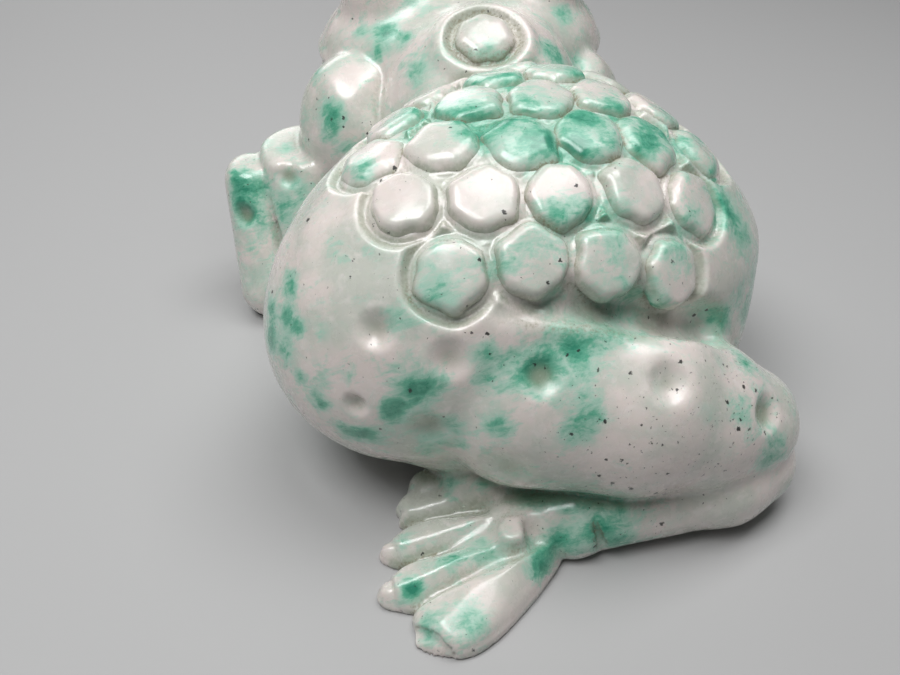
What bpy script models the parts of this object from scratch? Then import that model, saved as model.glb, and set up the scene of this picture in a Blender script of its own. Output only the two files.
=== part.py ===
"""A carved jade toad with three legs, resting on its flat underside.

The toad faces -Y and stands on z = 0. Its own left side is +X. The single hind leg folds out
to its right and the foot comes back under the rump. The stone is divided into one solid per
carved feature, along the creases between them, with a narrow gap at each crease.
"""

import math
import random

import bmesh
import bpy
import numpy as np
from mathutils import Matrix, Vector

MM = 0.001
GAP = 0.3

# Search limits, in millimetres, for points on a surface, and how often the span is halved
LONGEST_REACH = 120.0
CREST_LOW, CREST_HIGH = 30.0, 110.0
HALVINGS = 32
NORMAL_STEP = 0.3

# The figure is laid out in millimetres about the middle of the body. This shift brings the
# middle of its bounding box to x = 0 and y = 0.
SHIFT = (-1.8, 3.5, 0.0)

# Body: a turned pear with a fuller left rump and a broad belly
BODY_CENTRE = (0.0, 8.5, 37.0)
BODY_RADII = (57.5, 45.0, 38.0)
BODY_TURN = math.radians(14.0)
BODY_TAPER = 0.34
BODY_TAPER_SHIFT = 7.0
TAPER_START = 35.0
TAPER_END = -50.0
RUMP_CENTRE = (23.5, 27.5, 29.0)
RUMP_RADII = (28.5, 23.5, 24.0)
RUMP_BLEND = 9.0
FLANK_CENTRE = (-24.0, 24.0, 25.0)
FLANK_RADII = (23.0, 20.0, 19.0)
BELLY_CENTRE = (0.0, 4.0, 13.0)
BELLY_RADII = (44.0, 38.0, 20.0)
BELLY_BLEND = 8.0
CHEST_CENTRE = (-3.0, -34.0, 27.0)
CHEST_RADII = (30.0, 24.0, 28.0)

# Back bosses: y of the row's middle, count, spacing, x of the row's middle, bow, size
BOSS_ROWS = (
    (45.0, 4, 14.0, 0.0, 0.003, 1.0),
    (35.0, 5, 14.1, -1.2, 0.0055, 1.0),
    (23.5, 6, 13.7, -2.5, 0.0075, 1.0),
    (10.5, 5, 13.8, -3.0, 0.0095, 0.96),
    (-2.6, 4, 13.5, -3.5, 0.012, 0.92),
    (-15.8, 3, 13.0, -4.5, 0.013, 0.88),
)
BOSS_RADIUS = (6.2, 6.9)
BOSS_HEIGHT = 1.4
BOSS_CHAMFER = 1.1
BOSS_SEAT = 1.2
BOSS_SEED = 7

# Cutting blocks for the ground and the mouth
ROOM_SIDE = 400.0
ROOM_DEPTH = 80.0

# Head group; the two middles are the points that their forms are moulded round
NAPE_MIDDLE = (-3.0, -37.0, 50.0)
HEAD_MIDDLE = (-4.0, -60.0, 60.0)
NAPE_CENTRE = (-3.0, -36.0, 46.0)
NAPE_RADII = (26.0, 24.0, 27.0)
NAPE_TILT = math.radians(10.0)
NAPE_CREST_CENTRE = (-3.0, -40.0, 62.0)
NAPE_CREST_RADII = (12.0, 14.0, 12.0)
NAPE_BLEND = 8.0
HEAD_CENTRE = (-2.0, -60.0, 58.0)
HEAD_RADII = (37.0, 28.0, 20.0)
BROW_CENTRE = (-60.0, 74.0)
BROW_RADII = (12.0, 13.0, 10.0)
BROW_BLEND = 4.0
MOUTH_HEIGHT = 51.7
MOUTH_DROP = math.radians(6.0)
BROW_X = 19.0
EYE_X = 20.5
EYE_CENTRE = (-2.0, -67.5, 74.5)
EYE_RADIUS = 9.2
NOSTRIL_X = 5.0
NOSTRIL_CENTRE = (-2.5, -86.5, 64.0)
NOSTRIL_RADIUS = 1.6
EMBLEM_XY = (-3.5, -35.0)
RING_SINK = 1.5
RING_RADIUS = 9.2
RING_THICKNESS = 1.7
BEAD_RADII = (6.3, 5.6, 3.2)

# Forelegs: the right one is carved closer to the body than the left one
RIGHT_SCALE = 0.9
SHOULDER = ((28.0, -44.0, 44.5), (15.0, 15.0, 19.0))
UPPER_ARM = ((43.0, -44.5, 31.0), (45.0, -34.0, 14.0), 11.3, 10.5)
FOREARM = ((56.3, -43.0, 31.5), (55.3, -31.0, 7.0), 7.4, 8.0)
HAND = ((50.0, -43.0, 2.5), (11.0, 13.0, 6.0))
FINGERS = (
    ((44.0, -50.0, 3.0), (40.0, -61.0, 2.2), 4.4, 3.2),
    ((50.0, -51.0, 3.0), (49.5, -64.0, 2.2), 4.4, 3.2),
    ((56.0, -49.0, 3.0), (58.0, -60.0, 2.2), 4.2, 3.0),
)

# Hind leg
THIGH = (
    ((4.0, 41.0, 28.7), 21.5),
    ((-14.0, 47.3, 26.5), 19.0),
    ((-27.0, 49.6, 22.0), 15.3),
    ((-37.4, 50.6, 18.6), 12.3),
)
SHIN = (((-42.0, 54.0, 9.0), 9.0), ((-26.0, 58.0, 8.0), 8.5), ((-3.0, 60.0, 5.5), 6.0))
TOES = (
    ((7.0, 57.0, 5.0), (28.5, 47.2, 2.8), 4.0, 3.4),
    ((10.0, 60.0, 6.0), (34.3, 55.5, 2.6), 4.2, 3.3),
    ((12.0, 64.5, 6.0), (35.5, 65.4, 2.8), 4.2, 3.2),
    ((9.0, 69.0, 3.0), (27.5, 75.2, -1.2), 6.4, 6.6),
)
INSTEP = (((1.0, 59.0, 6.0), 6.4), ((9.0, 61.5, 5.6), 5.8))
KNOB = ((13.5, 61.5, 8.4), (4.6, 4.6, 4.0))

WHITE = (0.78, 0.80, 0.76)
GREEN = (0.35, 0.60, 0.50)
POLISH = 0.3
SMOOTH_ANGLE = math.radians(40.0)


def clear_scene():
    for obj in list(bpy.data.objects):
        bpy.data.objects.remove(obj)


def new_collection(name):
    collection = bpy.data.collections.new(name)
    bpy.context.scene.collection.children.link(collection)
    return collection


def add_material(obj, colour, roughness):
    material = bpy.data.materials.new(obj.name + "_stone")
    material.use_nodes = True
    shader = material.node_tree.nodes["Principled BSDF"]
    shader.inputs["Base Color"].default_value = (*colour, 1.0)
    shader.inputs["Roughness"].default_value = roughness
    obj.data.materials.append(material)


def place(point):
    """A layout point in millimetres as a world position in metres."""
    return Vector([(value + shift) * MM for value, shift in zip(point, SHIFT)])


def mesh_object(name, bm, location, collection):
    bmesh.ops.recalc_face_normals(bm, faces=bm.faces)
    mesh = bpy.data.meshes.new(name)
    bm.to_mesh(mesh)
    bm.free()
    mesh.shade_smooth()
    mesh.set_sharp_from_angle(angle=SMOOTH_ANGLE)
    obj = bpy.data.objects.new(name, mesh)
    obj.location = location
    collection.objects.link(obj)
    return obj


def ellipsoid(name, centre, radii, collection, grow=0.0, turn=None, around=20, along=12):
    bm = bmesh.new()
    bmesh.ops.create_uvsphere(bm, u_segments=around, v_segments=along, radius=1.0)
    size = [(radius + grow) * MM for radius in radii]
    bmesh.ops.transform(bm, matrix=Matrix.Diagonal((*size, 1.0)), verts=bm.verts)
    if turn is not None:
        bmesh.ops.transform(bm, matrix=turn.to_4x4(), verts=bm.verts)
    return mesh_object(name, bm, place(centre), collection)


def limb(name, spheres, collection, grow=0.0, around=16, along=8):
    """The hull round a run of spheres, each (centre, radius), as a tapering rounded limb."""
    first = Vector(spheres[0][0])
    axis = Vector(spheres[-1][0]) - first
    turn = axis.to_track_quat("Z", "Y").to_matrix().to_4x4()
    points = []
    for centre, radius in spheres:
        ball = bmesh.new()
        bmesh.ops.create_uvsphere(
            ball, u_segments=around, v_segments=along, radius=(radius + grow) * MM
        )
        offset = Matrix.Translation((Vector(centre) - first) * MM) @ turn
        points += [offset @ vert.co for vert in ball.verts]
        ball.free()
    bm = bmesh.new()
    for point in points:
        bm.verts.new(point)
    bmesh.ops.convex_hull(bm, input=bm.verts)
    loose = [vert for vert in bm.verts if not vert.link_faces]
    bmesh.ops.delete(bm, geom=loose, context="VERTS")
    return mesh_object(name, bm, place(spheres[0][0]), collection)


def smooth_step(value, start, end):
    part = min(max((value - start) / (end - start), 0.0), 1.0)
    return part * part * (3.0 - 2.0 * part)


def blend(first, second, width):
    """The smaller of two distances, with a fillet of the given width between the surfaces."""
    share = min(max(0.5 + 0.5 * (second - first) / width, 0.0), 1.0)
    return second + (first - second) * share - width * share * (1.0 - share)


def ellipsoid_field(point, centre, radii):
    """About the distance in millimetres from a point to an ellipsoid, negative inside."""
    scaled = [(p - c) / r for p, c, r in zip(point, centre, radii)]
    length = math.sqrt(sum(value * value for value in scaled))
    slope = math.sqrt(sum((value / r) ** 2 for value, r in zip(scaled, radii)))
    return length * (length - 1.0) / max(slope, 1e-6)


def torso_field(point):
    x, y, z = point
    forward = smooth_step(-y, -TAPER_START, -TAPER_END)
    x_wide = (x + BODY_TAPER_SHIFT * forward) / (1.0 - BODY_TAPER * forward)
    offset = Matrix.Rotation(-BODY_TURN, 3, "Z") @ (
        Vector((x_wide, y, z)) - Vector(BODY_CENTRE)
    )
    body = 0.8 * ellipsoid_field(offset, (0.0, 0.0, 0.0), BODY_RADII)
    rump = ellipsoid_field(point, RUMP_CENTRE, RUMP_RADII)
    flank = ellipsoid_field(point, FLANK_CENTRE, FLANK_RADII)
    belly = ellipsoid_field(point, BELLY_CENTRE, BELLY_RADII)
    return blend(blend(blend(body, rump, RUMP_BLEND), flank, RUMP_BLEND), belly, BELLY_BLEND)


def nape_field(point):
    offset = Matrix.Rotation(-NAPE_TILT, 3, "X") @ (Vector(point) - Vector(NAPE_CENTRE))
    hump = ellipsoid_field(offset, (0.0, 0.0, 0.0), NAPE_RADII)
    crest = ellipsoid_field(point, NAPE_CREST_CENTRE, NAPE_CREST_RADII)
    return blend(hump, crest, NAPE_BLEND)


def head_field(point):
    head = ellipsoid_field(point, HEAD_CENTRE, HEAD_RADII)
    for side in (1.0, -1.0):
        centre = (side * BROW_X + EYE_CENTRE[0], *BROW_CENTRE)
        head = blend(head, ellipsoid_field(point, centre, BROW_RADII), BROW_BLEND)
    return head


def reach(field, centre, direction, level):
    """How far from the centre the field reaches the level along a direction."""
    near, far = 0.0, LONGEST_REACH
    for _ in range(HALVINGS):
        middle = 0.5 * (near + far)
        point = [c + middle * d for c, d in zip(centre, direction)]
        if field(point) < level:
            near = middle
        else:
            far = middle
    return near


def moulded(name, field, centre, collection, grow=0.0, around=24, along=14):
    """A ball whose points are moved outwards on to the surface of a blended form."""
    bm = bmesh.new()
    bmesh.ops.create_uvsphere(bm, u_segments=around, v_segments=along, radius=1.0)
    for vert in bm.verts:
        direction = vert.co.normalized()
        vert.co = direction * reach(field, centre, direction, grow) * MM
    return mesh_object(name, bm, place(centre), collection)


def cut(obj, cutter, solver="EXACT"):
    modifier = obj.modifiers.new("cut_" + cutter.name, "BOOLEAN")
    modifier.object = cutter
    modifier.operation = "DIFFERENCE"
    modifier.solver = solver


def slab(name, centre, size, collection, turn=None):
    bm = bmesh.new()
    bmesh.ops.create_cube(bm, size=1.0)
    dims = [value * MM for value in size]
    bmesh.ops.transform(bm, matrix=Matrix.Diagonal((*dims, 1.0)), verts=bm.verts)
    if turn is not None:
        bmesh.ops.transform(bm, matrix=turn.to_4x4(), verts=bm.verts)
    return mesh_object(name, bm, place(centre), collection)


def torus(name, centre, radius, thickness, turn, collection):
    bpy.ops.mesh.primitive_torus_add(
        major_radius=radius * MM, minor_radius=thickness * MM, major_segments=26, minor_segments=8
    )
    ring = bpy.context.object
    for holder in list(ring.users_collection):
        holder.objects.unlink(ring)
    collection.objects.link(ring)
    ring.name = name
    ring.data.name = name
    ring.data.shade_smooth()
    ring.location = place(centre)
    ring.rotation_euler = turn.to_euler()
    return ring


def top_point(field, x, y):
    """The highest surface point above x, y."""
    low, high = CREST_LOW, CREST_HIGH
    for _ in range(HALVINGS):
        middle = 0.5 * (low + high)
        if field((x, y, middle)) < 0.0:
            low = middle
        else:
            high = middle
    return Vector((x, y, low))


def field_normal(field, point):
    slope = []
    for axis in range(3):
        ahead = Vector(point)
        behind = Vector(point)
        ahead[axis] += NORMAL_STEP
        behind[axis] -= NORMAL_STEP
        slope.append(field(ahead) - field(behind))
    return Vector(slope).normalized()


def bosses(collection, torso_cutter, nape_cutter):
    """Faceted pebbles in staggered rows over the back, each seated along the surface normal."""
    source = random.Random(BOSS_SEED)
    for row, (y_row, count, spacing, x_row, bow, size) in enumerate(BOSS_ROWS):
        for index in range(count):
            x = x_row + (index - (count - 1) / 2.0) * spacing + source.uniform(-0.6, 0.6)
            y = y_row - bow * (x - x_row) ** 2 + source.uniform(-0.5, 0.5)
            sides = source.choice((6, 7, 7))
            start = source.uniform(0.0, 2.0 * math.pi)
            point = top_point(torso_field, x, y)
            normal = field_normal(torso_field, point)
            bm = bmesh.new()
            ring = []
            for side in range(sides):
                angle = start + (side + source.uniform(-0.15, 0.15)) * 2.0 * math.pi / sides
                radius = size * source.uniform(*BOSS_RADIUS)
                corner = (radius * math.cos(angle), radius * math.sin(angle), -BOSS_SEAT)
                ring.append(bm.verts.new(Vector(corner) * MM))
            base = bm.faces.new(ring)
            grown = bmesh.ops.extrude_face_region(bm, geom=[base])
            risen = [item for item in grown["geom"] if isinstance(item, bmesh.types.BMVert)]
            rise = BOSS_SEAT + GAP + BOSS_HEIGHT
            bmesh.ops.translate(bm, vec=(0.0, 0.0, rise * MM), verts=risen)
            rim = [edge for edge in bm.edges if all(vert in risen for vert in edge.verts)]
            bmesh.ops.bevel(
                bm, geom=rim, offset=BOSS_CHAMFER * MM, segments=2, affect="EDGES", profile=0.5
            )
            turn = normal.to_track_quat("Z", "Y").to_matrix().to_4x4()
            bmesh.ops.transform(bm, matrix=turn, verts=bm.verts)
            boss = mesh_object(f"back_boss_{row + 1}{'abcdef'[index]}", bm, place(point), collection)
            cut(boss, torso_cutter)
            if row + 1 == len(BOSS_ROWS):
                cut(boss, nape_cutter)


def mirrored(point, side):
    """A foreleg point on the left side, or its counterpart on the right, carved closer in."""
    if side > 0.0:
        return point
    return (-RIGHT_SCALE * point[0] - 2.0, point[1], point[2])


def build():
    clear_scene()
    figure = new_collection("jade_toad")
    cutters = new_collection("cutters")
    ground = slab("ground", (0.0, 0.0, -0.5 * ROOM_DEPTH), (ROOM_SIDE, ROOM_SIDE, ROOM_DEPTH), cutters)

    torso_centre = BODY_CENTRE
    torso = moulded("torso", torso_field, torso_centre, figure, around=36, along=20)
    torso_cut = moulded("torso_cut", torso_field, torso_centre, cutters, GAP, 36, 20)
    cut(torso, ground)

    nape = moulded("nape", nape_field, NAPE_MIDDLE, figure)
    nape_cut = moulded("nape_cut", nape_field, NAPE_MIDDLE, cutters, GAP)
    cut(nape, torso_cut)
    bosses(figure, torso_cut, nape_cut)

    chest = ellipsoid("chest", CHEST_CENTRE, CHEST_RADII, figure)
    chest_cut = ellipsoid("chest_cut", CHEST_CENTRE, CHEST_RADII, cutters, GAP)
    for cutter in (torso_cut, nape_cut, ground):
        cut(chest, cutter, "MANIFOLD")

    # The mouth is one sloping cut right across the head
    mouth_turn = Matrix.Rotation(MOUTH_DROP, 3, "X")
    room = (ROOM_SIDE, ROOM_SIDE, ROOM_DEPTH)
    below = (0.0, HEAD_MIDDLE[1], MOUTH_HEIGHT - 0.5 * ROOM_DEPTH)
    above = (0.0, HEAD_MIDDLE[1], MOUTH_HEIGHT + 0.5 * ROOM_DEPTH - GAP)
    jaw_room = slab("jaw_room", below, room, cutters, mouth_turn)
    skull_room = slab("skull_room", above, room, cutters, mouth_turn)
    head_cut = moulded("head_cut", head_field, HEAD_MIDDLE, cutters, GAP, 28, 16)
    head = moulded("head", head_field, HEAD_MIDDLE, figure, around=28, along=16)
    jaw = moulded("lower_jaw", head_field, HEAD_MIDDLE, figure, around=28, along=16)
    cut(head, jaw_room)
    cut(jaw, skull_room, "MANIFOLD")
    for cutter in (torso_cut, nape_cut, chest_cut):
        cut(head, cutter)
        cut(jaw, cutter, "MANIFOLD")

    for side, label in ((1.0, "left"), (-1.0, "right")):
        centre = (side * EYE_X + EYE_CENTRE[0], EYE_CENTRE[1], EYE_CENTRE[2])
        radii = (EYE_RADIUS, EYE_RADIUS, EYE_RADIUS)
        ellipsoid(f"{label}_eye", centre, radii, figure, around=18, along=10)
        eye_cut = ellipsoid(f"{label}_eye_cut", centre, radii, cutters, GAP, None, 18, 10)
        cut(head, eye_cut)
        nostril = (side * NOSTRIL_X + NOSTRIL_CENTRE[0], *NOSTRIL_CENTRE[1:])
        radii = (NOSTRIL_RADIUS, NOSTRIL_RADIUS, NOSTRIL_RADIUS)
        nostril_cut = ellipsoid(f"{label}_nostril", nostril, radii, cutters, 0.0, None, 10, 6)
        cut(head, nostril_cut)

    for side, label in ((1.0, "left"), (-1.0, "right")):
        centre = mirrored(SHOULDER[0], side)
        shoulder = ellipsoid(f"{label}_shoulder", centre, SHOULDER[1], figure)
        shoulder_cut = ellipsoid(f"{label}_shoulder_cut", centre, SHOULDER[1], cutters, GAP)
        for cutter in (torso_cut, nape_cut, head_cut, chest_cut):
            cut(shoulder, cutter)

        start, end, wide, narrow = UPPER_ARM
        run = ((mirrored(start, side), wide), (mirrored(end, side), narrow))
        upper = limb(f"{label}_upper_foreleg", run, figure)
        upper_cut = limb(f"{label}_upper_foreleg_cut", run, cutters, GAP)
        for cutter in (shoulder_cut, torso_cut, head_cut, chest_cut):
            cut(upper, cutter)

        start, end, wide, narrow = FOREARM
        run = ((mirrored(start, side), wide), (mirrored(end, side), narrow))
        forearm = limb(f"{label}_forearm", run, figure)
        forearm_cut = limb(f"{label}_forearm_cut", run, cutters, GAP)
        for cutter in (upper_cut, torso_cut, shoulder_cut, ground):
            cut(forearm, cutter)

        hand = ellipsoid(f"{label}_hand", mirrored(HAND[0], side), HAND[1], figure)
        for number, (start, end, wide, narrow) in enumerate(FINGERS):
            run = ((mirrored(start, side), wide), (mirrored(end, side), narrow))
            finger = limb(f"{label}_finger_{number + 1}", run, cutters, 0.0, 10, 6)
            union = hand.modifiers.new(finger.name, "BOOLEAN")
            union.object = finger
            union.operation = "UNION"
            union.solver = "EXACT"
        for cutter in (forearm_cut, upper_cut, torso_cut, chest_cut, ground):
            cut(hand, cutter)

    emblem = top_point(nape_field, *EMBLEM_XY)
    outward = field_normal(nape_field, emblem)
    turn = outward.to_track_quat("Z", "Y").to_matrix()
    ring_centre = emblem - outward * RING_SINK
    ring = torus("nape_ring", ring_centre, RING_RADIUS, RING_THICKNESS, turn, figure)
    cut(ring, nape_cut)
    cut(ring, head_cut)
    bead = ellipsoid("nape_bead", emblem, BEAD_RADII, figure, 0.0, turn, 14, 8)
    cut(bead, nape_cut)

    thigh = limb("hind_thigh", THIGH, figure, 0.0, 24, 12)
    thigh_cut = limb("hind_thigh_cut", THIGH, cutters, GAP, 24, 12)
    cut(thigh, torso_cut)

    shin = limb("hind_shin", SHIN, figure, 0.0, 16, 8)
    shin_cut = limb("hind_shin_cut", SHIN, cutters, GAP, 16, 8)
    for cutter in (thigh_cut, torso_cut, ground):
        cut(shin, cutter)

    instep = limb("hind_instep", INSTEP, figure, 0.0, 16, 8)
    instep_cut = limb("hind_instep_cut", INSTEP, cutters, GAP, 16, 8)
    for cutter in (shin_cut, torso_cut, thigh_cut, ground):
        cut(instep, cutter)

    knob = ellipsoid("hind_ankle_knob", KNOB[0], KNOB[1], figure, 0.0, None, 14, 8)
    knob_cut = ellipsoid("hind_ankle_knob_cut", KNOB[0], KNOB[1], cutters, GAP, None, 14, 8)
    for cutter in (shin_cut, torso_cut, thigh_cut, instep_cut):
        cut(knob, cutter)
    before = [instep_cut, shin_cut, torso_cut, thigh_cut, knob_cut, ground]
    for number, (start, end, wide, narrow) in enumerate(TOES):
        run = ((start, wide), (end, narrow))
        toe = limb(f"hind_toe_{number + 1}", run, figure, 0.0, 12, 6)
        for cutter in before:
            cut(toe, cutter)
        before.append(limb(f"hind_toe_{number + 1}_cut", run, cutters, GAP, 12, 6))

    for helper in cutters.objects:
        helper.hide_render = True
        helper.display_type = "WIRE"
    cutters.hide_render = True
    for number, obj in enumerate(figure.objects):
        add_material(obj, GREEN if number % 3 == 2 else WHITE, POLISH)


build()
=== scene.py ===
"""Jade three-legged toad: the carved and polished stone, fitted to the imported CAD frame.

The stone's skin is worked out as a signed distance in millimetres, in the layout frame of the
CAD source, then meshed, refined where the carving is fine, and moved to the row frame.
"""

import math
import random

import bmesh
import bpy
import numpy as np
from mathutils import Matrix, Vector


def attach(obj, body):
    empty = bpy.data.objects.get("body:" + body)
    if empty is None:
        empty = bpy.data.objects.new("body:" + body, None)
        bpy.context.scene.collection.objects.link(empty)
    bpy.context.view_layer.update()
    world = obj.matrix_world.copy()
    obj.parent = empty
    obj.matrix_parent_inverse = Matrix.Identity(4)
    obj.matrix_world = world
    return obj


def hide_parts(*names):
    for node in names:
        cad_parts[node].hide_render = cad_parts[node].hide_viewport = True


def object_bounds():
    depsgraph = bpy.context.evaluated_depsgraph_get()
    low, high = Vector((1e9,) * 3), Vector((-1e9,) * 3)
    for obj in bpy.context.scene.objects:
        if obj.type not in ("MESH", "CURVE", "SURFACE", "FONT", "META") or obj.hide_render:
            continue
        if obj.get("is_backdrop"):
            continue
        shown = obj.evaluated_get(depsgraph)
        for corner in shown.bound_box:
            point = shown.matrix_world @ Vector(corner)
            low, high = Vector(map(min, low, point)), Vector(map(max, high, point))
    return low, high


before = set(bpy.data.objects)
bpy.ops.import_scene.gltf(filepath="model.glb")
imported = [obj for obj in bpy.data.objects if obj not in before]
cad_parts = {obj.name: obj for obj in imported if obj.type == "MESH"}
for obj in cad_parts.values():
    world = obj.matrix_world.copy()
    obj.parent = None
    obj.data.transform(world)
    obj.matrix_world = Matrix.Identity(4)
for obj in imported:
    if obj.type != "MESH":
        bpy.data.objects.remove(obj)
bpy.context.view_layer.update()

MM = 0.001
SHIFT = np.array([-1.8, 3.5, 0.0])  # layout frame to row frame, in millimetres

# ---------------------------------------------------------------- shape

F = np.float32


def smooth_step(x, low, high):
    t = np.clip((x - low) / (high - low), 0, 1)
    return t * t * (3 - 2 * t)


def smin(a, b, k):
    h = np.clip(0.5 + 0.5 * (b - a) / k, 0, 1)
    return b + (a - b) * h - k * h * (1 - h)


def smax(a, b, k):
    return -smin(-a, -b, k)


def turned(axis, degrees):
    a = math.radians(degrees)
    c, s = math.cos(a), math.sin(a)
    rows = {
        "x": [[1, 0, 0], [0, c, -s], [0, s, c]],
        "y": [[c, 0, s], [0, 1, 0], [-s, 0, c]],
        "z": [[c, -s, 0], [s, c, 0], [0, 0, 1]],
    }[axis]
    return np.array(rows, F)


def ellipsoid(p, centre, radii, turn=None):
    q = p - np.asarray(centre, F)
    if turn is not None:
        q = q @ turn
    q = q / np.asarray(radii, F)
    k0 = np.sqrt((q * q).sum(-1))
    q = q / np.asarray(radii, F)
    k1 = np.sqrt((q * q).sum(-1))
    return k0 * (k0 - 1) / np.maximum(k1, 1e-6)


def limb(p, a, b, ra, rb):
    """Signed distance to the hull of two spheres."""
    a, b = np.asarray(a, F), np.asarray(b, F)
    ba = b - a
    l2 = float(ba @ ba)
    rr = ra - rb
    a2 = l2 - rr * rr
    pa = p - a
    y = pa @ ba
    z = y - l2
    x2 = ((pa * l2 - y[..., None] * ba) ** 2).sum(-1)
    y2 = y * y * l2
    z2 = z * z * l2
    k = np.sign(rr) * rr * rr * x2
    d = (np.sqrt(x2 * a2 / l2) + y * rr) / l2 - ra
    past_b = np.sign(z) * a2 * z2 > k
    d = np.where(past_b, np.sqrt(x2 + z2) / l2 - rb, d)
    before_a = (~past_b) & (np.sign(y) * a2 * y2 < k)
    return np.where(before_a, np.sqrt(x2 + y2) / l2 - ra, d)


def wobble(p):
    """Slow uneven swell left by hand carving, in mm, from -1 to 1 or so."""
    x, y, z = p[..., 0], p[..., 1], p[..., 2]
    a = np.sin(x * 0.31 + 1.3 * np.sin(y * 0.17 + 0.4)) * np.sin(y * 0.29 + z * 0.23 + 1.1)
    b = np.sin(x * 0.19 - z * 0.37 + 2.1) * np.sin(y * 0.43 + 0.8 * np.sin(x * 0.21))
    return 0.6 * a + 0.4 * b


# body forms, each as centre and radii
BODY = ((0, 8.5, 37), (57.5, 45, 38))
BODY_TURN = turned("z", 14)
RUMP = ((23.5, 27.5, 30), (28.5, 23, 23))
FLANK = ((-24, 24, 25), (23, 20, 19))
BELLY = ((0, 4, 13), (44, 38, 20))
HIP = ((15, 37, 16.5), (15.5, 11, 12))
CHEST = ((-3, -34, 27), (30, 24, 28))


def torso(p):
    """A turned pear that narrows to the front, with the rump, flank, belly, hip and chest grown on."""
    x, y, z = p[..., 0], p[..., 1], p[..., 2]
    forward = smooth_step(-y, -35, 50)
    width = 1.0 - (0.34 + 0.05 * smooth_step(-x, -10, 20)) * forward
    q = np.stack([(x + 7 * forward) / width, y, z], -1)
    d = ellipsoid(q, *BODY, BODY_TURN) * 0.8
    for form, blend in ((RUMP, 9), (FLANK, 7), (BELLY, 8), (HIP, 4)):
        d = smin(d, ellipsoid(p, *form), blend)
    d = d + 1.5 * smooth_step(-x, 10, 34) * smooth_step(z, 44, 60)
    return smin(d, ellipsoid(p, *CHEST), 4)


# rows of bosses across the back: y at the middle, how many, spacing, x at the middle, bow, size
BOSS_ROWS = (
    (45, 4, 14.0, 0.0, 0.003, 1.0),
    (35, 5, 14.1, -1.2, 0.0055, 1.0),
    (23.5, 6, 13.7, -2.5, 0.0075, 1.07),
    (10.5, 5, 13.8, -3.0, 0.0095, 1.04),
    (-2.6, 4, 13.5, -3.5, 0.012, 1.0),
    (-15.8, 3, 13.0, -4.5, 0.013, 0.94),
)
BOSS_RADIUS = (6.2, 6.9)
BOSS_CHAMFER = (1.0, 1.2, 2.1, 1.6, 1.4, 1.3)


def on_torso(x, y):
    """Height of the torso's top at a place in plan."""
    z = 90.0
    for _ in range(60):
        gap = float(torso(np.array([[x, y, z]], F))[0])
        z -= gap * 0.7
        if gap < 0.01:
            break
    return z


def slope(field, p, step=0.3):
    """Outward unit normal of a field at one point."""
    p = np.asarray(p, F)[None]
    e = np.eye(3, dtype=F) * step
    n = np.array([float((field(p + e[k]) - field(p - e[k]))[0]) for k in range(3)])
    return n / np.linalg.norm(n)


def make_bosses():
    """Place, axes and cut of each boss, with the outline drawn as an uneven polygon."""
    draw = random.Random(7)
    extra = random.Random(11)
    made = []
    for row, (y_row, count, spacing, x_row, bow, size) in enumerate(BOSS_ROWS):
        for i in range(count):
            x = x_row + (i - (count - 1) / 2) * spacing + draw.uniform(-0.6, 0.6)
            y = y_row - bow * (x - x_row) ** 2 + draw.uniform(-0.5, 0.5)
            sides = draw.choice((6, 7, 7))
            start = draw.uniform(0, 2 * math.pi)
            angles, radii = [], []
            for side in range(sides):
                angles.append(start + 2 * math.pi * side / sides + draw.uniform(-0.15, 0.15))
                radii.append(size * draw.uniform(*BOSS_RADIUS))
            z = on_torso(x, y)
            n = slope(torso, (x, y, z))
            t1 = np.cross((0, -1, 0), n)
            t1 /= np.linalg.norm(t1)
            t2 = np.cross(n, t1)
            lean = (extra.uniform(-0.05, 0.05), extra.uniform(-0.05, 0.05))
            made.append(
                dict(
                    name=f"{row + 1}{'abcdef'[i]}",
                    c=np.array([x, y, z], F),
                    frame=np.stack([t1, t2, n], 1).astype(F),
                    angles=angles,
                    radii=radii,
                    lean=lean,
                    chamfer=BOSS_CHAMFER[row] * extra.uniform(0.85, 1.2),
                )
            )
    return made


BOSSES = make_bosses()
BOSS_TOP = 0.70
BOSS_SHRINK = 0.94
BOSS_ROOT = 3.4
GROOVE = 1.5


def boss_parts(b, p):
    """(distance to the boss outline across the surface, signed distance to the boss) near one boss."""
    u, v, h = ((p - b["c"]) @ b["frame"]).T
    top = h - BOSS_TOP - b["lean"][0] * u - b["lean"][1] * v
    outline = None
    facets = top + 0.010 * (u * u + v * v)
    around = np.arctan2(v, u)
    ragged = 0.11 * np.sin(5 * around + 70 * b["lean"][0]) + 0.09 * np.sin(9 * around + 90 * b["lean"][1])
    for a, full in zip(b["angles"], b["radii"]):
        r = BOSS_SHRINK * full
        out = u * math.cos(a) + v * math.sin(a)
        side = out - r
        outline = side if outline is None else smax(outline, side, 2.0)
        facet = (out - r + b["chamfer"]) * 0.62 + (h - BOSS_TOP) * 0.78
        facets = smax(facets, facet, 0.7)
    outline = outline + ragged
    wall = outline * 0.95 + np.maximum(h + 0.9, -1.2) * 0.3
    return outline, smax(facets, wall, 0.7), h


def boss_solid(b, p):
    facets, h = boss_parts(b, p)[1:]
    return smax(facets, -(h + BOSS_ROOT), 0.4) + 0.10 * wobble(p * F(1.7))


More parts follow.
